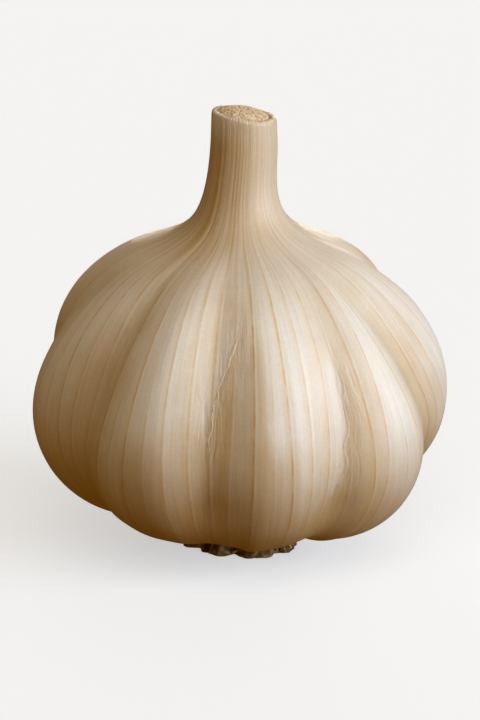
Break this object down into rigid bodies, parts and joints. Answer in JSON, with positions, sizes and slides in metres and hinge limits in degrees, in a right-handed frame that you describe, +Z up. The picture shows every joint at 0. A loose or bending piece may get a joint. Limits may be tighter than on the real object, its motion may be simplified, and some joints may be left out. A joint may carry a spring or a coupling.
{
  "type": "garlic bulb",
  "caption": "Dried whole garlic bulb: papery skin drawn over swelling cloves into a cut neck, resting upright on its trimmed root plate.",
  "frame": {"origin": "centre of the flat spot under the root plate that the bulb rests on", "axes": "+Z up along the neck; -Y is the front, the side with the two broad cloves that meet in a leaning crease; +X is to the right seen from the front"},
  "size_m": [0.0606, 0.0596, 0.0649],
  "materials": {
    "papery_skin": "satin dry skin, cream with tan veins",
    "dry_stalk": "matt fibrous",
    "corky_root": "matt rough"
  },
  "bodies": {
    "root": {"bulb": "papery_skin", "stalk_core": "dry_stalk", "root_plate": "corky_root"}
  },
  "joints": []
}
